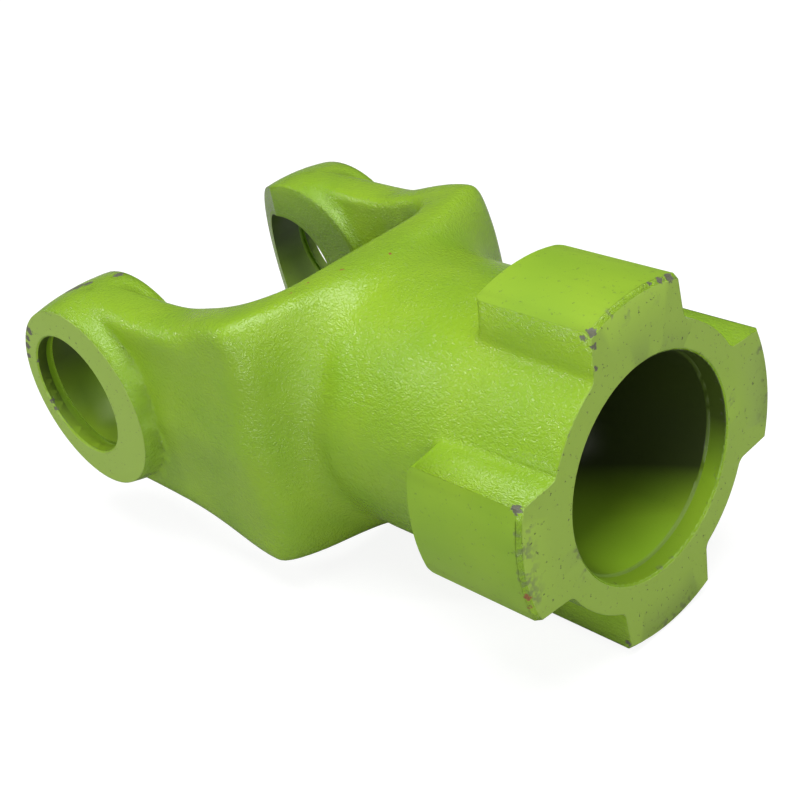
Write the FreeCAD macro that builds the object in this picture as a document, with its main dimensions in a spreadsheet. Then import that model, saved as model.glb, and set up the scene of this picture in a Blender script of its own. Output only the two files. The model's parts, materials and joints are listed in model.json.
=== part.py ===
import FreeCAD, Part
import Sketcher
import math
import os

V = FreeCAD.Vector

# Forged yoke of a drive shaft, in millimetres and degrees.
# Origin: the joint centre, where the hub axis meets the axis of the cross bores.
# X runs along the hub towards its mouth, Y along the cross bores, Z up through a lug.
# The dies part on the plane Z = 0, so every forged wall leans away from that plane.

os.makedirs("parts", exist_ok=True)
doc = FreeCAD.newDocument("ForgedYoke")

# Driving dimensions
SIZES = [
    # Cross bores and ears
    ("cross_bore_dia", 30.2, "bore for a bearing cup"),
    ("ears_outer_span", 89.0, "over the outer faces of the two ears"),
    ("ears_inner_span", 50.0, "between the inner faces of the two ears"),
    ("cups_span", 80.0, "over the bearing cups, to the inner sides of the ring grooves"),
    ("ring_groove_depth", 0.9, "depth of a snap ring groove"),
    ("ring_groove_width", 1.8, "width of a snap ring groove"),
    ("bore_chamfer", 0.5, "outer edge of a cross bore"),
    ("ear_dia", 45.0, "ear across its machined outer face"),
    ("ear_growth", 3.0, "how much wider the ear is across its machined inner face"),
    ("ear_crown", 0.8, "how far the forged rim of an ear bulges between those faces"),
    ("ear_shift", 3.3, "centre of the ear's outer face, from the bore axis towards the hub"),
    ("ear_creep", 1.5, "how much further the centre of the inner face lies towards the hub"),
    ("tip_bevel_angle", 27.0, "bevel inside the ear tips, which clears the other yoke"),
    ("tip_bevel_x", 2.5, "from the bore axis to the start of that bevel"),
    # Fork
    ("draft_angle", 5.0, "lean of the forged walls"),
    ("ear_boss", 3.2, "how far an ear's outer face stands out of the arm, on the parting plane"),
    ("ear_pad", 2.0, "how far an ear's inner face stands out of the arm, on the parting plane"),
    ("gap_closing", 1.7, "how much nearer each arm comes to the middle at the fork's floor"),
    ("fork_floor_x", 54.3, "from the bore axis to the fork's floor, on the parting plane"),
    ("fork_floor_round", 9.5, "arms to the floor"),
    ("fork_back_x", 66.8, "from the bore axis to the back of the fork's shoulders"),
    ("shoulder_round", 10.5, "shoulder's outer corner, seen along Z"),
    ("neck_round", 8.0, "shoulder into the hub"),
    ("arm_height", 49.2, "height of the arms next to the ears, at their outer edges"),
    ("arm_dish", 5.0, "how far the arms' upper and lower sides lean towards the opening, in degrees"),
    ("arm_level_x", 27.0, "where the upper sides of the arms start to rise towards the hub"),
    ("arm_rise_angle", 12.0, "slope of those sides"),
    ("lower_level_x", 12.0, "where the lower sides start to sink"),
    ("lower_sink_angle", 7.6, "slope of those sides"),
    ("arm_rise_round", 60.0, "start of that slope"),
    ("root_round", 60.0, "end of that slope, at the shoulders"),
    ("shoulder_rise", 0.4, "how far the shoulders stand above the hub"),
    ("shoulder_ridge_x", 57.0, "from the bore axis to the ridge where the shoulders start to fall to the hub"),
    ("neck_length", 2.5, "from the neck's fillet to where the hub is round"),
    ("edge_round", 3.2, "long outer edges of the fork"),
    # Hub
    ("mouth_x", 135.5, "from the bore axis to the mouth face"),
    ("hub_bore_dia", 45.6, "through bore"),
    ("hub_wall", 6.8, "from the bore to the forged outside, at the mouth"),
    ("hub_growth", 1.6, "how much wider the forged outside is at the neck"),
    ("mouth_recess_step", 0.5, "from the bore out to the recess in the mouth"),
    ("mouth_recess_depth", 4.7, "depth of that recess"),
    ("mouth_lip", 0.7, "chamfer at the mouth"),
    ("recess_step", 0.6, "length of the cone between that recess and the bore"),
    # Lugs
    ("lug_rise", 8.8, "from the hub to the turned top of a lug, at the mouth"),
    ("lug_width", 25.0, "lug across its turned top"),
    ("lug_length", 28.6, "along the hub"),
    ("lug_flank_angle", 4.0, "lean of a lug's flanks"),
    ("lug_corner_round", 1.6, "upright corners at a lug's back"),
    ("lug_chamfer", 1.0, "front edge of the turned top"),
    # Fillets
    ("rim_round", 2.6, "edges of the fork's opening"),
    ("lug_foot_round", 2.4, "lug into the hub"),
]

LUG_COUNT = 4

sheet = doc.addObject("Spreadsheet::Sheet", "Sizes")
for row, (alias, value, meaning) in enumerate(SIZES, start=1):
    sheet.set(f"A{row}", alias)
    sheet.set(f"B{row}", str(value))
    sheet.set(f"C{row}", meaning)
    sheet.setAlias(f"B{row}", alias)
doc.recompute()


def size(alias):
    return float(getattr(sheet, alias))


# Half sizes and slopes that several features share
lean = math.tan(math.radians(size("draft_angle")))
inner_face_y = size("ears_inner_span") / 2
outer_face_y = size("ears_outer_span") / 2
half_span = outer_face_y - size("ear_boss")
hub_mouth_radius = size("hub_bore_dia") / 2 + size("hub_wall")
hub_neck_radius = hub_mouth_radius + size("hub_growth") / 2


# Outline of the fork seen along Y: height of its upper or lower side at a distance from the bore axis
def side_height(x, start, slope):
    level = size("arm_height") / 2
    rise = math.radians(slope)
    first = size("arm_rise_round")
    last = size("root_round")
    shoulder_top = hub_neck_radius
    bend_end = start + first * math.sin(rise)
    bend_rise = first * (1 - math.cos(rise))
    crown_rise = last * (1 - math.cos(rise))
    straight = (shoulder_top - level - bend_rise - crown_rise) / math.tan(rise)
    crown_start = bend_end + straight
    crown_end = crown_start + last * math.sin(rise)
    if x <= start:
        return level
    if x <= bend_end:
        return level + first - math.sqrt(first ** 2 - (x - start) ** 2)
    if x <= crown_start:
        return level + bend_rise + (x - bend_end) * math.tan(rise)
    if x <= crown_end:
        return shoulder_top - last + math.sqrt(last ** 2 - (crown_end - x) ** 2)
    return shoulder_top


# Where the shoulder's convex arc passes into the concave arc of the neck, seen along Z
corner = size("shoulder_round")
neck = size("neck_round")
corner_x = size("fork_back_x") - corner
corner_y = half_span - corner
neck_y = hub_neck_radius + neck
neck_x = corner_x + math.sqrt((corner + neck) ** 2 - (neck_y - corner_y) ** 2)
flank_x = corner_x + (neck_x - corner_x) * corner / (corner + neck)


# Outline of the fork seen along Z: half width on the parting plane
def half_width(x):
    if x <= corner_x:
        return half_span
    if x <= flank_x:
        return corner_y + math.sqrt(corner ** 2 - (x - corner_x) ** 2)
    if x <= neck_x:
        return neck_y - math.sqrt(neck ** 2 - (neck_x - x) ** 2)
    return hub_neck_radius


# Section across the hub axis. A high power gives a block with leaning sides and
# rounded edges, and a power of 2 the round hub.
SECTION_POINTS = 48


def section(x, width, upper, lower, slope, dish, power):
    points = []
    for index in range(SECTION_POINTS):
        angle = 2 * math.pi * index / SECTION_POINTS
        across = abs(math.cos(angle))
        upward = abs(math.sin(angle))
        height = upper if angle < math.pi else lower
        side = (across + slope * upward) / width
        top = max(upward - dish * across, 0) / (height - dish * width)
        reach = (side ** power + top ** power) ** (-1 / power)
        points.append(V(x, reach * math.cos(angle), reach * math.sin(angle)))
    turns = [index / SECTION_POINTS for index in range(SECTION_POINTS + 1)]
    curve = Part.BSplineCurve()
    curve.interpolate(Points=points, PeriodicFlag=True, Parameters=turns)
    return curve


# Closed solid whose skin runs smoothly through sections that share their knots
def skin_through(sections):
    stops = [curve.getPole(1).x for curve in sections]
    rails = []
    for index in range(sections[0].NbPoles):
        rail = Part.BSplineCurve()
        rail.interpolate(Points=[curve.getPole(index + 1) for curve in sections], Parameters=stops)
        rails.append(rail)
    around = sections[0]
    along = rails[0]
    skin = Part.BSplineSurface()
    skin.buildFromPolesMultsKnots(
        [rail.getPoles() for rail in rails],
        around.getMultiplicities(), along.getMultiplicities(),
        around.getKnots(), along.getKnots(),
        True, False, around.Degree, along.Degree)
    ends = [Part.Face(Part.Wire([curve.toShape()])) for curve in (sections[0], sections[-1])]
    shell = Part.makeShell([skin.toShape()] + ends)
    shell.sewShape()
    return Part.makeSolid(shell)


# The power that rounds a square edge by a given radius, for a block of this size
def edge_power(width, height):
    diagonal = math.hypot(width, height)
    loss = (math.sqrt(2) - 1) * size("edge_round") / diagonal
    return -math.log(2) / math.log(1 - loss)


# Body of the fork and the hub: one loft from the ears to the mouth
block_power = edge_power(half_span, size("arm_height") / 2)
dish = math.tan(math.radians(size("arm_dish")))
# 0 before the first place, 1 after the last, and a smooth passage in between
def passage(x, first, last):
    share = min(max((x - first) / (last - first), 0), 1)
    return share * share * (3 - 2 * share)


# Stations lie close together where the shoulders pass into the hub, and wide apart elsewhere
ear_x = size("ear_shift")
level_x = size("arm_level_x")
mouth_x = size("mouth_x")
lug_back = mouth_x - size("lug_length")
round_x = neck_x + size("neck_length")
hub_start = (round_x + lug_back) / 2
places = []
for first, last, count in ((ear_x, corner_x, 5), (corner_x, round_x, 10), (round_x, hub_start, 3)):
    for index in range(count):
        places.append(first + (last - first) * index / count)
places.append(hub_start)

wires = []
for x in places:
    into_hub = passage(x, size("shoulder_ridge_x"), round_x)
    above_hub = size("shoulder_rise") * (1 - passage(x, flank_x, round_x))
    upper = side_height(x, level_x, size("arm_rise_angle")) + above_hub
    lower = side_height(x, size("lower_level_x"), size("lower_sink_angle")) + above_hub
    power = 1 / ((1 - into_hub) / block_power + into_hub / 2)
    lean_now = lean * (1 - into_hub)
    dish_now = dish * (1 - passage(x, level_x, corner_x))
    wires.append(section(x, half_width(x), upper, lower, lean_now, dish_now, power))
billet = doc.addObject("Part::Feature", "Billet")
billet.Shape = skin_through(wires)


# Fork's opening: an outline on the parting plane, drawn out both ways and opening with the lean.
# It reaches past the ear tips and past the upper and lower sides.
opening_reach = size("ear_dia")
opening_depth = hub_neck_radius + size("fork_floor_round")
floor_x = size("fork_floor_x")
gap_ears = inner_face_y + size("ear_pad")
gap_floor = gap_ears - size("gap_closing")
floor_round = size("fork_floor_round")


def opening_outline(height, offset):
    wall = math.atan2(gap_ears - gap_floor, floor_x)
    foot = V(floor_x + offset, 0, height)
    toe = V(-opening_reach, gap_floor + (floor_x + opening_reach) * math.tan(wall) + offset, height)
    round_now = floor_round + offset
    centre_x = foot.x - round_now
    wall_y = gap_floor + offset + (foot.x - centre_x) * math.tan(wall)
    centre_y = wall_y - round_now / math.cos(wall)
    start = V(foot.x, centre_y, height)
    stop = V(centre_x + round_now * math.sin(wall), centre_y + round_now * math.cos(wall), height)
    middle_turn = (math.pi / 2 - wall) / 2
    middle = V(centre_x + round_now * math.cos(middle_turn), centre_y + round_now * math.sin(middle_turn), height)

    def mirrored(point):
        return V(point.x, -point.y, point.z)

    edges = [
        Part.LineSegment(mirrored(start), start).toShape(),
        Part.Arc(start, middle, stop).toShape(),
        Part.LineSegment(stop, toe).toShape(),
        Part.LineSegment(toe, mirrored(toe)).toShape(),
        Part.LineSegment(mirrored(toe), mirrored(stop)).toShape(),
        Part.Arc(mirrored(stop), mirrored(middle), mirrored(start)).toShape(),
    ]
    return Part.Wire(edges)


# Cutter that follows an outline and opens with the lean, away from the parting plane both ways
def die_cutter(outline):
    halves = []
    for side in (1, -1):
        outlines = [outline(0, 0), outline(side * opening_depth, lean * opening_depth)]
        halves.append(Part.makeLoft(outlines, True, True))
    return halves[0].fuse(halves[1])


opening = doc.addObject("Part::Feature", "ForkOpening")
opening.Shape = die_cutter(opening_outline)


# Bevels inside the ear tips: both lie on one wedge that widens away from the hub
bevel_angle = math.radians(size("tip_bevel_angle"))
apex_x = inner_face_y / math.tan(bevel_angle) - size("tip_bevel_x")
wedge_y = (apex_x + opening_reach) * math.tan(bevel_angle)
wedge = Part.makePolygon([
    V(apex_x, 0, -opening_depth), V(-opening_reach, wedge_y, -opening_depth),
    V(-opening_reach, -wedge_y, -opening_depth), V(apex_x, 0, -opening_depth)])
bevel = doc.addObject("Part::Feature", "TipBevel")
bevel.Shape = Part.Face(wedge).extrude(V(0, 0, 2 * opening_depth))

fork = doc.addObject("Part::Cut", "Fork")
fork.Base = billet
fork.Tool = opening
doc.recompute()


# Edges of a shape whose middle point fits a rule, as a fillet feature wants them
def chosen_edges(shape, fits, radius):
    chosen = []
    for number, edge in enumerate(shape.Edges, start=1):
        middle = edge.valueAt((edge.FirstParameter + edge.LastParameter) / 2)
        if fits(edge, middle):
            chosen.append((number, radius, radius))
    return chosen


# Upper and lower rims of the fork's opening
def is_opening_rim(edge, middle):
    level = size("arm_height") / 2 - 3
    along = ear_x < middle.x < floor_x + 4 and abs(middle.y) < gap_ears + 3
    return along and abs(middle.z) > level and edge.BoundBox.ZLength < 6


rounded = doc.addObject("Part::Fillet", "RimRounds")
rounded.Base = fork
rounded.Edges = chosen_edges(fork.Shape, is_opening_rim, size("rim_round"))
doc.recompute()


# Ears: a smooth rim through circles from the outer to the inner face, which bulges in between
# and moves towards the hub
def ear_shape(side):
    circles = []
    for share, bulge in ((0.0, 0.0), (0.5, size("ear_crown")), (1.0, 0.0)):
        radius = (size("ear_dia") + share * size("ear_growth")) / 2 + bulge
        centre_x = ear_x + share * size("ear_creep")
        centre_y = outer_face_y + share * (inner_face_y - outer_face_y)
        circle = Part.Circle(V(centre_x, side * centre_y, 0), V(0, 1, 0), radius)
        circles.append(Part.Wire([circle.toShape()]))
    return Part.makeLoft(circles, True, False)


ears = []
for name, side in (("LeftEar", 1), ("RightEar", -1)):
    ear = doc.addObject("Part::Feature", name)
    ear.Shape = ear_shape(side)
    ears.append(ear)

# Lugs: a block with leaning flanks, its top turned round with the mouth's chamfered front edge
lug_radius = hub_mouth_radius + size("lug_rise")
lug_width = size("lug_width") / 2
lug_slope = math.tan(math.radians(size("lug_flank_angle")))
bore_radius = size("hub_bore_dia") / 2
lug_foot_z = math.sqrt(bore_radius ** 2 - lug_width ** 2)


def lug_outline(height, half):
    round_now = size("lug_corner_round")
    diagonal = math.sqrt(0.5)
    back = lug_back - (half - lug_width)
    near = V(back + round_now, -half, height)
    bend = V(back + round_now * (1 - diagonal), -half + round_now * (1 - diagonal), height)
    turn = V(back, -half + round_now, height)

    def mirrored(point):
        return V(point.x, -point.y, point.z)

    front = V(mouth_x, half, height)
    return Part.Wire([
        Part.LineSegment(mirrored(front), near).toShape(),
        Part.Arc(near, bend, turn).toShape(),
        Part.LineSegment(turn, mirrored(turn)).toShape(),
        Part.Arc(mirrored(turn), mirrored(bend), mirrored(near)).toShape(),
        Part.LineSegment(mirrored(near), front).toShape(),
        Part.LineSegment(front, mirrored(front)).toShape(),
    ])


lug_edge_z = math.sqrt(lug_radius ** 2 - lug_width ** 2)
lug_top_z = lug_radius + size("lug_chamfer")
foot_half = lug_width + (lug_edge_z - lug_foot_z) * lug_slope
top_half = lug_width - (lug_top_z - lug_edge_z) * lug_slope
block = Part.makeLoft([lug_outline(lug_foot_z, foot_half), lug_outline(lug_top_z, top_half)], True, True)
chamfer = size("lug_chamfer")
behind_lug = lug_back - lug_width
turning = Part.makePolygon([
    V(behind_lug, 0, 0), V(behind_lug, 0, lug_radius), V(mouth_x - chamfer, 0, lug_radius),
    V(mouth_x, 0, lug_radius - chamfer), V(mouth_x, 0, 0), V(behind_lug, 0, 0)])
envelope = Part.Face(turning).revolve(V(0, 0, 0), V(1, 0, 0), 360)
lug_shape = block.common(envelope)
lugs = []
for index in range(LUG_COUNT):
    lug = doc.addObject("Part::Feature", f"Lug{index + 1}")
    lug.Shape = lug_shape
    lug.Placement = FreeCAD.Placement(V(0, 0, 0), FreeCAD.Rotation(V(1, 0, 0), index * 360 / LUG_COUNT))
    lugs.append(lug)

# Forged hub from the neck to the mouth, slightly tapered
hub = doc.addObject("Part::Cone", "Hub")
hub.setExpression("Radius1", "(Sizes.hub_bore_dia + Sizes.hub_growth) / 2 + Sizes.hub_wall")
hub.setExpression("Radius2", "Sizes.hub_bore_dia / 2 + Sizes.hub_wall")
hub.setExpression("Height", f"Sizes.mouth_x - {hub_start}")
hub.Placement = FreeCAD.Placement(V(hub_start, 0, 0), FreeCAD.Rotation(V(0, 1, 0), 90))
mouth = doc.addObject("Part::MultiFuse", "Mouth")
mouth.Shapes = [hub] + lugs
doc.recompute()


# Where the flanks and the backs of the lugs stand on the hub
def is_lug_foot(edge, middle):
    low = hub_mouth_radius - 0.5
    high = hub_neck_radius + 0.1
    inside = lug_back - 1 < middle.x < mouth_x - 1
    return inside and low < math.hypot(middle.y, middle.z) < high


foot = doc.addObject("Part::Fillet", "LugFeet")
foot.Base = mouth
foot.Edges = chosen_edges(mouth.Shape, is_lug_foot, size("lug_foot_round"))
doc.recompute()

joined = doc.addObject("Part::MultiFuse", "Joined")
joined.Shapes = [rounded] + ears + [foot]
forging = doc.addObject("Part::Cut", "Forging")
forging.Base = joined
forging.Tool = bevel
doc.recompute()


# Machining: the body takes the forging and turns the bores out of it
body = doc.addObject("PartDesign::Body", "Yoke")
body.BaseFeature = forging
doc.recompute()


# Closed profile of straight lines, each corner placed by two formulas over the named sizes
def turned_profile(name, corners):
    sketch = body.newObject("Sketcher::SketchObject", name)
    plane = next(item for item in body.Origin.OriginFeatures if item.Role == "XY_Plane")
    sketch.AttachmentSupport = [(plane, "")]
    sketch.MapMode = "FlatFace"
    start = [(10.0 + 3 * index, 5.0 + index) for index in range(len(corners))]
    for index in range(len(corners)):
        here = V(start[index][0], start[index][1], 0)
        there = V(start[(index + 1) % len(corners)][0], start[(index + 1) % len(corners)][1], 0)
        sketch.addGeometry(Part.LineSegment(here, there), False)
    for index in range(len(corners)):
        sketch.addConstraint(Sketcher.Constraint("Coincident", index, 2, (index + 1) % len(corners), 1))
    for index, (along_x, along_y) in enumerate(corners):
        for kind, formula in (("DistanceX", along_x), ("DistanceY", along_y)):
            number = sketch.addConstraint(Sketcher.Constraint(kind, -1, 1, index, 1, 1.0))
            sketch.setExpression(f"Constraints[{number}]", formula)
    return sketch


def turned_cut(name, sketch, axis):
    cut = body.newObject("PartDesign::Groove", name)
    cut.Profile = sketch
    cut.ReferenceAxis = (sketch, [axis])
    cut.Angle = 360
    doc.recompute()
    return cut


# Hub bore with the recess and the chamfer at its mouth, turned about X
clear_x = "Sizes.fork_floor_x - Sizes.fork_floor_round"
recess_x = "Sizes.mouth_x - Sizes.mouth_recess_depth"
recess_r = "(Sizes.hub_bore_dia / 2 + Sizes.mouth_recess_step)"
bore_profile = turned_profile("HubBoreProfile", [
    (clear_x, "0 mm"),
    (clear_x, "Sizes.hub_bore_dia / 2"),
    (recess_x, "Sizes.hub_bore_dia / 2"),
    (f"{recess_x} + Sizes.recess_step", recess_r),
    ("Sizes.mouth_x - Sizes.mouth_lip", recess_r),
    ("Sizes.mouth_x + 1", f"{recess_r} + Sizes.mouth_lip + 1"),
    ("Sizes.mouth_x + 1", "0 mm"),
])
hub_bore = turned_cut("HubBore", bore_profile, "H_Axis")

# Cross bores through both ears, with a snap ring groove in each, turned about Y
groove_in = "Sizes.cups_span / 2"
groove_out = "(Sizes.cups_span / 2 + Sizes.ring_groove_width)"
edge_in = "(Sizes.ears_outer_span / 2 - Sizes.bore_chamfer)"
beyond = "(Sizes.ears_outer_span / 2 + 1)"
bore_r = "Sizes.cross_bore_dia / 2"
groove_r = "(Sizes.cross_bore_dia / 2 + Sizes.ring_groove_depth)"
flare_r = "Sizes.cross_bore_dia / 2 + Sizes.bore_chamfer + 1"
ear_half = [(bore_r, groove_in), (groove_r, groove_in), (groove_r, groove_out), (bore_r, groove_out),
            (bore_r, edge_in), (flare_r, beyond), ("0 mm", beyond)]
far_side = [(radius, f"-{along}") for radius, along in reversed(ear_half)]
cross_profile = turned_profile("CrossBoreProfile", far_side + ear_half)
cross_bore = turned_cut("CrossBore", cross_profile, "V_Axis")
body.Tip = cross_bore
doc.recompute()


# The finished forging, as the file it is written to
forged_yoke = doc.addObject("Part::Feature", "ForgedYoke")
forged_yoke.Label = "forged_yoke"
forged_yoke.Shape = body.Shape
forged_yoke.Placement = FreeCAD.Placement(V(0, 0, 0), FreeCAD.Rotation())
doc.recompute()

for item in doc.Objects:
    state = " ".join(item.State)
    if "Invalid" in state or "Error" in state:
        raise ValueError(f"{item.Label} is {state}")
if forged_yoke.Shape.isNull() or not forged_yoke.Shape.isValid() or len(forged_yoke.Shape.Solids) != 1:
    raise ValueError("forged_yoke is no single valid solid")
forged_yoke.Shape.exportStep("parts/forged_yoke.step")
print("forged_yoke:", round(forged_yoke.Shape.Volume / 1000), "cubic centimetres")
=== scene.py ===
# %% [markdown]
# # A forged yoke in green paint
# The real object is one steel forging: a round hub with four square drive lugs, and a fork of two
# arms that end in bored ears. It was forged, machined where other parts seat, and then painted all
# over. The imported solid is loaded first, as the fixed frame that everything else is measured from.

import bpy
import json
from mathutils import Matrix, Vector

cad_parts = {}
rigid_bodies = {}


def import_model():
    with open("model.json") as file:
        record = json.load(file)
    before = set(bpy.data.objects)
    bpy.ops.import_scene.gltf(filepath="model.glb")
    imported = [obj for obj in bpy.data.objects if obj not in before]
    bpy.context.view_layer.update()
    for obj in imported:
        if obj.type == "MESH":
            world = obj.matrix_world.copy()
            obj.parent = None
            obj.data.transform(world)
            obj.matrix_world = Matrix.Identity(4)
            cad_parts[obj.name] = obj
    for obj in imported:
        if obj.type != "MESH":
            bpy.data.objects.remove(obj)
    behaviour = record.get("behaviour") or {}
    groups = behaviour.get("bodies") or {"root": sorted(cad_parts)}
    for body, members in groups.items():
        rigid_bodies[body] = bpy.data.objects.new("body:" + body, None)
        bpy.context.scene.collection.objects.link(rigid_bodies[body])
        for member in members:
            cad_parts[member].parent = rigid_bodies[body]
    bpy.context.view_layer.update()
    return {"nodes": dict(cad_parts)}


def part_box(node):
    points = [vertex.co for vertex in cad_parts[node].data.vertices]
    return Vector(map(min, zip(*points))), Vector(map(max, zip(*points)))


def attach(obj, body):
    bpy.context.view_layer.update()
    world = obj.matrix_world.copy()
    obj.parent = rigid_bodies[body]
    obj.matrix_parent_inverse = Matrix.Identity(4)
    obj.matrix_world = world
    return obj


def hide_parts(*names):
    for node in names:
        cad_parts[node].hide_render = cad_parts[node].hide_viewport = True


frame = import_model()

# %% [markdown]
# The scene is in metres, but a forging is easier to think of in millimetres, so its places are. The
# three outer sizes come from the solid's box: the hub ends at the mouth face, the lugs are its
# highest parts and the ears' flat faces are its widest.

# %% Sizes that come from the solid
import json
import math

import bpy
from mathutils import Matrix, Vector

MM = 0.001
low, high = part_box("forged_yoke")
mouth_x = high.x / MM
lug_radius = high.z / MM
ear_face_y = high.y / MM
print("mouth face at", round(mouth_x, 1), "mm, lugs", round(2 * lug_radius, 1), "mm across")

# %% [markdown]
# ## The forging as a smooth skin
# The frame's mesh is loose triangles, which would catch the light as flat facets. It could be
# modelled anew, but a copy of it is truer: its doubled corners are merged, and it is shaded smooth
# except where two faces meet at a real edge. The copy keeps the solid's form to the last corner, so
# it can stand for it.

# %% A merged copy of the solid
SHARP_ANGLE = math.radians(24)
solid = frame["nodes"]["forged_yoke"]
bpy.ops.object.select_all(action="DESELECT")
solid.select_set(True)
bpy.context.view_layer.objects.active = solid
bpy.ops.object.duplicate()
skin = bpy.context.active_object
skin.name = "painted_yoke"
bpy.ops.object.parent_clear(type="CLEAR_KEEP_TRANSFORM")
bpy.ops.object.mode_set(mode="EDIT")
bpy.ops.mesh.select_all(action="SELECT")
bpy.ops.mesh.remove_doubles(threshold=0.001 * MM)
bpy.ops.object.mode_set(mode="OBJECT")
bpy.ops.object.shade_smooth_by_angle(angle=SHARP_ANGLE)
print("the skin has", len(skin.data.vertices), "corners and", len(skin.data.polygons), "faces")


# %% [markdown]
# ## Shader sums written as sums
# A material is a net of nodes, and most of this one is arithmetic on the place of a point. The small
# class below wraps a socket, so that places can be added, multiplied and compared in plain lines,
# and each sign adds its own Math node. A Sum with no socket only makes nodes.

# %% A socket that can be reckoned with
class Sum:
    def __init__(self, tree, socket=None):
        self.tree = tree
        self.socket = socket

    def node(self, kind, settings, inputs):
        made = self.tree.nodes.new(kind)
        for name, value in settings.items():
            setattr(made, name, value)
        for name, value in inputs.items():
            entry = made.inputs[name]
            if isinstance(value, Sum):
                self.tree.links.new(value.socket, entry)
            else:
                entry.default_value = value
        return made

    def out(self, made, name):
        return Sum(self.tree, made.outputs[name])

    def maths(self, operation, *values, clamp=False):
        inputs = {index: value for index, value in enumerate(values)}
        made = self.node("ShaderNodeMath", {"operation": operation, "use_clamp": clamp}, inputs)
        return self.out(made, "Value")

    def __add__(self, other):
        return self.maths("ADD", self, other)

    __radd__ = __add__

    def __sub__(self, other):
        return self.maths("SUBTRACT", self, other)

    def __rsub__(self, other):
        return self.maths("SUBTRACT", other, self)

    def __mul__(self, other):
        return self.maths("MULTIPLY", self, other)

    __rmul__ = __mul__

    def __pow__(self, other):
        return self.maths("POWER", self, other)

    def __abs__(self):
        return self.maths("ABSOLUTE", self)

    def larger(self, other):
        return self.maths("MAXIMUM", self, other)

    def smaller(self, other):
        return self.maths("MINIMUM", self, other)

    def above(self, limit, soft):
        """0 below the limit and 1 above it, with a soft step in between."""
        return self.maths("DIVIDE", self - (limit - soft / 2), soft, clamp=True)

    def below(self, limit, soft):
        """1 below the limit and 0 above it."""
        return 1 - self.above(limit, soft)

    def noise(self, place, scale, detail, roughness=0.5):
        """Cloudy noise from 0 to 1, whose scale says about how many patches a millimetre has."""
        made = self.node(
            "ShaderNodeTexNoise", {"noise_dimensions": "3D"},
            {"Vector": place, "Scale": scale, "Detail": detail, "Roughness": roughness})
        return self.out(made, 0)

    def vector(self, operation, *values):
        inputs = {index: value for index, value in enumerate(values)}
        made = self.node("ShaderNodeVectorMath", {"operation": operation}, inputs)
        return self.out(made, "Vector")

    def direction(self, across, along, upward):
        """A unit vector with these three parts."""
        joined = self.node("ShaderNodeCombineXYZ", {}, {"X": across, "Y": along, "Z": upward})
        return self.vector("NORMALIZE", self.out(joined, "Vector"))

    def steer(self, share, first, second):
        """A direction that passes from the first to the second as the share grows from 0 to 1."""
        made = self.node("ShaderNodeMix", {"data_type": "VECTOR"}, {0: share, 4: first, 5: second})
        return self.out(made, 1)

    def blend(self, share, first, second):
        """A colour that passes from the first to the second as the share grows from 0 to 1."""
        made = self.node("ShaderNodeMix", {"data_type": "RGBA"}, {0: share, 6: first, 7: second})
        return self.out(made, 2)


# %% [markdown]
# ## Green paint over a forged skin
# The paint is a glossy enamel. Where the dies formed the steel it lies over fine scale marks, which
# break the gloss up into tiny glints. Machined faces are flatter and duller. The paint is one
# material, and it tells the surfaces apart by their places in millimetres, with x along the hub.

# %% The place of a point
paint = bpy.data.materials.new("green_paint")
paint.use_nodes = True
paint.node_tree.nodes.clear()
sums = Sum(paint.node_tree)
place = sums.out(sums.node("ShaderNodeTexCoord", {}, {}), "Object")
scaled = sums.node("ShaderNodeVectorMath", {"operation": "SCALE"}, {0: place, "Scale": 1 / MM})
place_mm = sums.out(scaled, "Vector")
split = sums.node("ShaderNodeSeparateXYZ", {}, {0: place_mm})
x = sums.out(split, "X")
y = sums.out(split, "Y")
z = sums.out(split, "Z")
side = abs(y)
from_hub = (y * y + z * z) ** 0.5
from_cross = (x * x + z * z) ** 0.5
print("nodes so far:", len(sums.tree.nodes))

# %% [markdown]
# A mask is 1 on one kind of surface and 0 elsewhere. The machined surfaces are the flat ear faces,
# the mouth face, the turned tops of the lugs, the bores through the ears with their ring grooves,
# and the hub's bore with the wider recess in its mouth. Each mask reaches a little past its surface.

# %% Where the machined surfaces are
EDGE = 0.1
LUG_LENGTH = 28.6
CROSS_BORE_RADIUS = 15.1
RING_GROOVE_RADIUS = 16.0
EAR_INSIDE_Y = 25
RECESS_RADIUS = 23.3
HUB_BORE_START_X = 45
ear_face = side.above(ear_face_y - EDGE, EDGE)
mouth_face = x.above(mouth_x - EDGE, EDGE)
lug_top = from_hub.above(lug_radius - 0.15, EDGE) * x.above(mouth_x - LUG_LENGTH - 0.5, EDGE)
cross_bore = from_cross.below(RING_GROOVE_RADIUS + 0.2, EDGE) * side.above(EAR_INSIDE_Y - 0.1, EDGE)
hub_bore = from_hub.below(RECESS_RADIUS + 0.3, EDGE) * x.above(HUB_BORE_START_X, EDGE)
machined = ear_face.larger(mouth_face).larger(lug_top).larger(cross_bore).larger(hub_bore)
print("ear faces at", round(ear_face_y, 1), "mm, lugs", LUG_LENGTH, "mm long")

# %% [markdown]
# Real creases have small fillets. Cutting them into the mesh would need far more triangles, so a
# Bevel node rounds the normal where two faces meet. The fillet that a die leaves is about a
# millimetre. It is wider at the foot of an ear, in a ring round the cross bore's axis, and
# machined edges are only broken.

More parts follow.
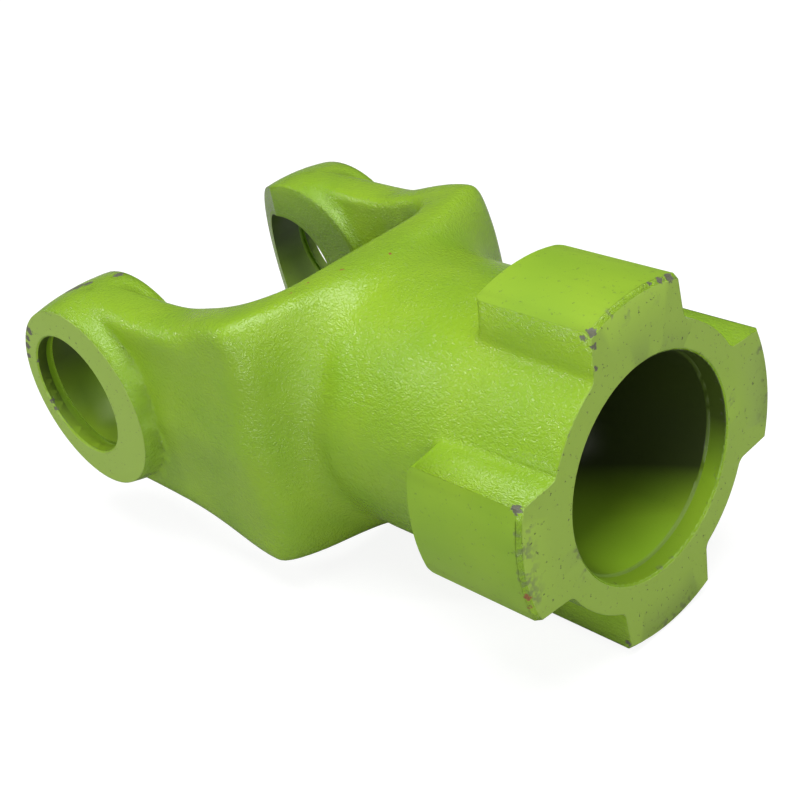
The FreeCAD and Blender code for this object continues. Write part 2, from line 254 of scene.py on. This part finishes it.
# %% Rounded creases
FILLET = 1.0
EAR_FILLET = 3.0
BROKEN_EDGE = 0.35
EAR_FOOT_START = 20.5
EAR_FOOT_END = 31
ear_foot = from_cross.above(EAR_FOOT_START, 2) * from_cross.below(EAR_FOOT_END, 4)
ear_foot = ear_foot * (1 - ear_face)
fillet = (FILLET + (EAR_FILLET - FILLET) * ear_foot) * MM
rounded = sums.out(sums.node("ShaderNodeBevel", {"samples": 6}, {"Radius": fillet}), "Normal")
broken = sums.node("ShaderNodeBevel", {"samples": 4}, {"Radius": BROKEN_EDGE * MM})
edge_rounded = sums.out(broken, "Normal")
print("fillets of", FILLET, "and", EAR_FILLET, "mm, broken edges of", BROKEN_EDGE, "mm")

# %% [markdown]
# A turned surface is truly round, but its mesh has long thin triangles, whose shading would show as
# streaks. There the normal is worked out from the place instead: away from the hub's axis on the lug
# tops, and towards its own axis in each bore. The short cone that ends the recess keeps its own.

# %% Which way the surface faces
RECESS_DEPTH = 4.7
HUB_WALL_START_X = 52
recess_x = mouth_x - RECESS_DEPTH
recess_cone = x.above(recess_x - 0.05, EDGE) * x.below(recess_x + 0.65, EDGE)
hub_wall = from_hub.below(RECESS_RADIUS + 0.15, EDGE) * x.above(HUB_WALL_START_X, EDGE)
hub_wall = hub_wall * (1 - recess_cone)
cross_wall = from_cross.below(CROSS_BORE_RADIUS + 0.1, EDGE) * side.above(EAR_INSIDE_Y, EDGE)
facing = sums.steer(machined, rounded, edge_rounded)
facing = sums.steer(lug_top, facing, sums.direction(0.0, y, z))
facing = sums.steer(hub_wall, facing, sums.direction(0.0, 0 - y, 0 - z))
facing = sums.steer(cross_wall, facing, sums.direction(0 - x, 0.0, 0 - z))
print("the recess starts at", round(recess_x, 1), "mm")

# %% [markdown]
# The forged relief is made of layers: soft waves from hand grinding and die wear, pebbles of about
# a millimetre, a finer grain, and short sharp creases that lie along the hub. The creases are ridged
# noise: the noise folded at its middle value and raised to a power. Large patches make the relief
# stronger here and weaker there. Half of its height is taken off, so that the forged skin and a
# machined face lie level where they meet, with no step between them.

# %% Forged relief, with heights in millimetres
PEBBLE_HEIGHT = 0.19
CREASE_HEIGHT = 0.055
GRAIN_HEIGHT = 0.03
WAVE_HEIGHT = 0.28
HALF_HEIGHT = 0.14
pebbles = sums.noise(place_mm, 1.15, 2.0, 0.6)
waves = sums.noise(place_mm, 0.13, 1.0)
grain = sums.noise(place_mm, 2.4, 1.0)
drawn = sums.vector("MULTIPLY", place_mm, (0.6, 1.0, 1.0))
folded = 1 - abs(2 * sums.noise(drawn, 1.7, 1.0, 0.5) - 1)
creases = folded ** 4
patches = sums.noise(place_mm, 0.055, 1.0)
rough_share = 0.9 + 0.6 * patches.above(0.5, 0.35)
marks = pebbles * PEBBLE_HEIGHT + creases * CREASE_HEIGHT + grain * GRAIN_HEIGHT - HALF_HEIGHT
forged_relief = marks * rough_share + waves * WAVE_HEIGHT - HALF_HEIGHT
machined_relief = grain * 0.010 + waves * 0.02 - 0.015
relief = forged_relief * (1 - machined) + machined_relief * machined
print("waves of", WAVE_HEIGHT, "mm and pebbles of", PEBBLE_HEIGHT, "mm")

# %% [markdown]
# ## Wear
# Handling has knocked the paint off small spots, mostly on the outer edges of the lugs' front faces
# and of the near ear. The steel shows grey there. A few specks of rust lie on the saddle and on one
# lug. Each spot is a ball round a place on the skin, with an edge that noise makes ragged. A picture
# could hold them too, but balls need no picture and stay sharp from near.

# %% Chips and specks of rust
CHIPS = [
    (-13, -44.5, 14, 1.2), (-15, -44.3, 11.5, 0.9), (-16.4, -44.4, 9, 1.0),
    (-17.6, -44.4, 6, 0.8), (-14, -44.4, 5, 0.5), (-14, -44.3, -6, 0.6), (-13.2, -44.2, -8, 0.5),
    (-4.5, -35.5, 22.6, 1.4), (-3, -34, 23.2, 1.5), (-1, -32.5, 23.8, 1.2), (3.4, -26.5, 24, 1.2),
    (135, 10.5, 36.5, 1.1), (135, 8, 37.2, 0.8), (135, 5, 37.9, 0.5), (135, -11.8, 36.1, 0.9),
    (135.5, -12.1, 33.6, 0.6), (135.5, -12.4, 29, 0.5), (133.6, -12.6, 35.1, 0.6),
    (134.2, -35.9, 12.6, 1.1), (134.6, -12.6, -34.7, 0.7)]
RUST = [
    (68.2, 1.5, 30.7, 0.35), (63.6, -8.6, 30.7, 0.40), (61, -16, 30.5, 0.30),
    (61.2, -21, 30.4, 0.30), (134.9, -37.5, -6, 0.65), (134.9, -37.3, -8.5, 0.45)]
ragged = sums.noise(place_mm, 1.5, 2.0)


def spots(places):
    """1 on the spots and 0 beside them."""
    found = None
    for spot_x, spot_y, spot_z, radius in places:
        centre = (spot_x, spot_y, spot_z)
        apart = sums.node("ShaderNodeVectorMath", {"operation": "DISTANCE"}, {0: place_mm, 1: centre})
        here = (sums.out(apart, "Value") + 2.0 * (ragged - 0.5)).below(radius, 0.25)
        found = here if found is None else found.larger(here)
    return found


chips = spots(CHIPS)
rust = spots(RUST)
print(len(CHIPS), "chips and", len(RUST), "specks of rust")

# %% [markdown]
# On every sharp front edge the paint is thin. The Bevel node tells where an edge is near: there its
# rounded normal turns away from the true one. Noise breaks the worn line up. The near lug is worn a
# little more than the others.

# %% Thin paint on sharp edges
true_normal = sums.out(sums.node("ShaderNodeNewGeometry", {}, {}), "True Normal")
compared = sums.node(
    "ShaderNodeVectorMath", {"operation": "DOT_PRODUCT"}, {0: edge_rounded, 1: true_normal})
at_edge = sums.out(compared, "Value").below(0.96, 0.05)
front = x.above(mouth_x - 1.4, EDGE).larger(side.above(ear_face_y - 0.6, EDGE))
near_lug = y.below(-34, 1) * x.above(mouth_x - 1.6, EDGE)
broken_up = (sums.noise(place_mm, 0.35, 2.0, 0.7) + 0.04 * near_lug).above(0.60, 0.10)
worn = at_edge * front * broken_up
bare = chips.larger(worn * 0.6)
print("nodes so far:", len(sums.tree.nodes))

# %% [markdown]
# ## Paint colour and gloss
# The paint is a yellowish green, a little deeper in large clouds and duller on the flat machined
# faces. Dust and pores mark it with dark specks, which are cells of noise above a high limit. They
# are thickest on the flat faces.

# %% Paint colour
GREEN = (0.285, 0.468, 0.022, 1)
DEEP_GREEN = (0.215, 0.395, 0.017, 1)
DULL_GREEN = (0.340, 0.510, 0.070, 1)
SPECK = (0.070, 0.080, 0.025, 1)
clouds = sums.noise(place_mm, 0.05, 2.0)
colour = sums.blend(clouds.above(0.5, 0.5), GREEN, DEEP_GREEN)
flat_face = mouth_face.larger(ear_face)
colour = sums.blend(flat_face * 0.85, colour, DULL_GREEN)
speck_share = 0.75 * flat_face + 0.25 * lug_top + 0.14
specks = sums.noise(place_mm, 0.9, 3.0, 0.7).above(0.655, 0.05) * speck_share
colour = sums.blend(specks.smaller(0.8), colour, SPECK)
print("plain paint is", GREEN[:3])

# %% [markdown]
# Inside the bores the colour stands in for light. Deep in the hub and on the upper half of its wall
# it is darkened as painted shade, and on the bottom it is a brighter green as a painted highlight.
# The dark border rises from the deep end to the mouth. The recess in the mouth is painted dark above
# and green below as shade, and the upper walls of the cross bores have painted shade too.

# %% Painted shade and highlight in the bores
# A bright green that stands for a painted highlight on the bottom of the hub's bore.
BORE_BOTTOM_HIGHLIGHT = (0.340, 0.620, 0.030, 1)
# A near black that stands for painted shade inside the bores.
BORE_SHADE = (0.014, 0.017, 0.007, 1)
DEEP_X = 82
BORDER_SLOPE = 0.22
BORDER_HEIGHT = -44.7
BOTTOM_Z = -21
# Painted shade: darker deep in the hub's bore and on the upper half of its wall, under a border that
# rises towards the mouth.
deep_in = x.below(DEEP_X, 40)
high_up = (z - BORDER_SLOPE * x).above(BORDER_HEIGHT, 7.5)
behind_recess = x.below(recess_x + 0.2, 0.3)
recess_wall = x.above(recess_x + 0.6, 0.1)
painted_bore_shade = (deep_in * 0.80).larger(high_up * 0.93) * behind_recess
# The recess wall is painted dark above, as shade.
painted_bore_shade = painted_bore_shade + recess_wall * z.above(-8, 12) * 0.85
# Painted shade on the short cone that ends the recess, darker above.
recess_shade = recess_cone * (0.35 + 0.5 * z.above(-10, 20))
# Painted shade on the upper walls of the cross bores.
ear_shade = cross_wall * (z - 0.5 * x).above(0, 20) * 0.8
# Painted highlight: the bottom of the hub's bore is coloured brighter, as if more light fell there.
bottom = hub_bore * z.below(BOTTOM_Z, 4) * behind_recess
colour = sums.blend(bottom, colour, BORE_BOTTOM_HIGHLIGHT)
# The painted shade goes over the colour here, first in the cross bores and then in the hub's bore.
colour = sums.blend(ear_shade, colour, BORE_SHADE)
colour = sums.blend(hub_bore * painted_bore_shade.larger(recess_shade), colour, BORE_SHADE)
print("paint in the bores runs from", BORE_BOTTOM_HIGHLIGHT[:3], "to", BORE_SHADE[:3])

# %% [markdown]
# Bare steel and rust lie over the paint's colour. The machined faces and bare steel are rougher than
# the enamel. Chips are a fraction of a millimetre lower than the paint, and so are the specks, so
# both go into the relief, which a Bump node turns into a normal.

# %% Assemble the paint
BARE_STEEL = (0.120, 0.105, 0.100, 1)
RUST_RED = (0.300, 0.125, 0.035, 1)
colour = sums.blend(bare * 0.9, colour, BARE_STEEL)
colour = sums.blend(rust, colour, RUST_RED)
gloss = 0.18 + 0.24 * machined + 0.10 * (clouds - 0.5) + 0.25 * bare
height = relief - 0.10 * bare - 0.05 * specks
bump = sums.node("ShaderNodeBump", {}, {
    "Strength": 1.0, "Distance": MM, "Height": height, "Normal": facing})
coat = sums.node("ShaderNodeBsdfPrincipled", {}, {
    "Base Color": colour, "Roughness": gloss, "Normal": sums.out(bump, "Normal"), "IOR": 1.5})
sums.node("ShaderNodeOutputMaterial", {}, {"Surface": sums.out(coat, "BSDF")})
skin.data.materials.clear()
skin.data.materials.append(paint)
print("the paint has", len(sums.tree.nodes), "nodes")

# %% [markdown]
# The painted skin now stands for the solid. The forging is one rigid body, so the skin rides on it.

# %% Hand the skin over
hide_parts("forged_yoke")
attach(skin, "root")
print(skin.name, "stands for", solid.name)

# %% [markdown]
# ## Floor, light and camera
# The photo is a product shot on white. A wide pale floor lies under the lowest lug. The camera sees
# it almost evenly white, with a faint shadow of the object, but it throws only some of the light
# back, because a white floor would wash the colour out. One shader for the camera's own rays and
# another for all the rest does both, for the floor here and for the sky later.

# %% The floor
FLOOR_SIZE = 8
TABLE = 0.36
SHEET = 0.22
GLOW = 0.88


def grey(value):
    """A grey of this brightness, as a colour."""
    return (value, value, value, 1)


def by_ray(maker, for_light, for_camera):
    """The second shader for the camera's own rays and the first for all others."""
    path = maker.node("ShaderNodeLightPath", {}, {})
    made = maker.node("ShaderNodeMixShader", {}, {
        0: maker.out(path, "Is Camera Ray"), 1: for_light, 2: for_camera})
    return maker.out(made, "Shader")


bpy.ops.object.select_all(action="DESELECT")
bpy.ops.mesh.primitive_plane_add(size=FLOOR_SIZE, location=(0, 0, low.z))
floor = bpy.context.active_object
floor.name = "floor"
pale = bpy.data.materials.new("pale_floor")
pale.use_nodes = True
pale.node_tree.nodes.clear()
ground = Sum(pale.node_tree)
table = ground.out(ground.node("ShaderNodeBsdfDiffuse", {}, {"Color": grey(TABLE)}), "BSDF")
sheet = ground.out(ground.node("ShaderNodeBsdfDiffuse", {}, {"Color": grey(SHEET)}), "BSDF")
glow = ground.node("ShaderNodeEmission", {}, {"Color": grey(1), "Strength": GLOW})
glowing = ground.node("ShaderNodeAddShader", {}, {0: sheet, 1: ground.out(glow, "Emission")})
floor_look = by_ray(ground, table, ground.out(glowing, "Shader"))
ground.node("ShaderNodeOutputMaterial", {}, {"Surface": floor_look})
floor.data.materials.append(pale)
print("the floor lies at", round(low.z / MM, 1), "mm")


# %% [markdown]
# A broad soft box over the object gives most of the light. Weaker ones fill from the far side, from
# the near side just above the floor, and from the front, where the light reaches into the bore. A
# narrow strip beyond the near ear draws the glints along the hub. All of them look at the middle of
# the object, so one function aims and sizes them, in metres and watts.

# %% The lamps
middle = (low + high) / 2


def soft_box(name, direction, distance, width, height, power):
    aim = Vector(direction).normalized()
    bpy.ops.object.light_add(type="AREA", location=middle + aim * distance)
    lamp = bpy.context.active_object
    lamp.name = name
    lamp.rotation_euler = aim.to_track_quat("Z", "Y").to_euler()
    lamp.data.shape = "RECTANGLE"
    lamp.data.size = width
    lamp.data.size_y = height
    lamp.data.energy = power
    print(name, "gives", power, "W from", distance, "m")


soft_box("ceiling_lamp", (0.1, 0.0, 1.0), distance=1.1, width=0.9, height=0.9, power=13.2)
soft_box("far_lamp", (0.5, 0.8, 0.5), distance=1.1, width=0.8, height=0.8, power=1.3)
soft_box("near_lamp", (0.32, -0.9, 0.12), distance=1.3, width=1.0, height=0.25, power=6.2)
soft_box("front_lamp", (0.88, -0.22, 0.42), distance=1.3, width=0.6, height=0.4, power=3.4)
soft_box("left_strip", (-0.68, -0.48, 0.52), distance=1.0, width=0.07, height=0.20, power=1.8)

# %% [markdown]
# The sky is a world of one even colour. The camera sees it white, and it gives only a weak light.

# %% The sky
SKY_LIGHT = 0.12
SKY_SEEN = 1.0
sky = bpy.data.worlds.new("white_sky")
sky.use_nodes = True
sky.node_tree.nodes.clear()
air = Sum(sky.node_tree)
soft = air.node("ShaderNodeBackground", {}, {"Color": grey(1), "Strength": SKY_LIGHT})
white = air.node("ShaderNodeBackground", {}, {"Color": grey(1), "Strength": SKY_SEEN})
sky_look = by_ray(air, air.out(soft, "Background"), air.out(white, "Background"))
air.node("ShaderNodeOutputWorld", {}, {"Surface": sky_look})
bpy.context.scene.world = sky
print("the sky gives", SKY_LIGHT, "and shows as", SKY_SEEN)

# %% [markdown]
# The camera stands where the photo was taken: near the object, so that the mouth looks large, above
# it, and turned a little about its own view. Its place was fitted to edges seen in the photo. Three
# directions, to the right, up and back, make the columns of its matrix.

# %% The camera
AZIMUTH = math.radians(51.53)
ELEVATION = math.radians(30.27)
ROLL = math.radians(-11.75)
DISTANCE = 393.1 * MM
ACROSS = 44.7 * MM
UPWARD = -21.9 * MM
LENS = 70.84
SENSOR_WIDTH = 36
reach = math.cos(ELEVATION)
back = Vector((math.sin(AZIMUTH) * reach, -math.cos(AZIMUTH) * reach, math.sin(ELEVATION)))
level = Vector((math.cos(AZIMUTH), math.sin(AZIMUTH), 0))
upright = back.cross(level)
right = math.cos(ROLL) * level + math.sin(ROLL) * upright
up = math.cos(ROLL) * upright - math.sin(ROLL) * level
eye = back * DISTANCE + right * ACROSS + up * UPWARD
bpy.ops.object.camera_add(location=eye)
camera = bpy.context.active_object
turn = Matrix((right, up, back)).transposed().to_4x4()
camera.matrix_world = Matrix.Translation(eye) @ turn
camera.data.lens = LENS
camera.data.sensor_width = SENSOR_WIDTH
camera.data.clip_start = 0.01
bpy.context.scene.camera = camera
bpy.context.scene.view_settings.view_transform = "Standard"
print("camera at", [round(value, 3) for value in eye])
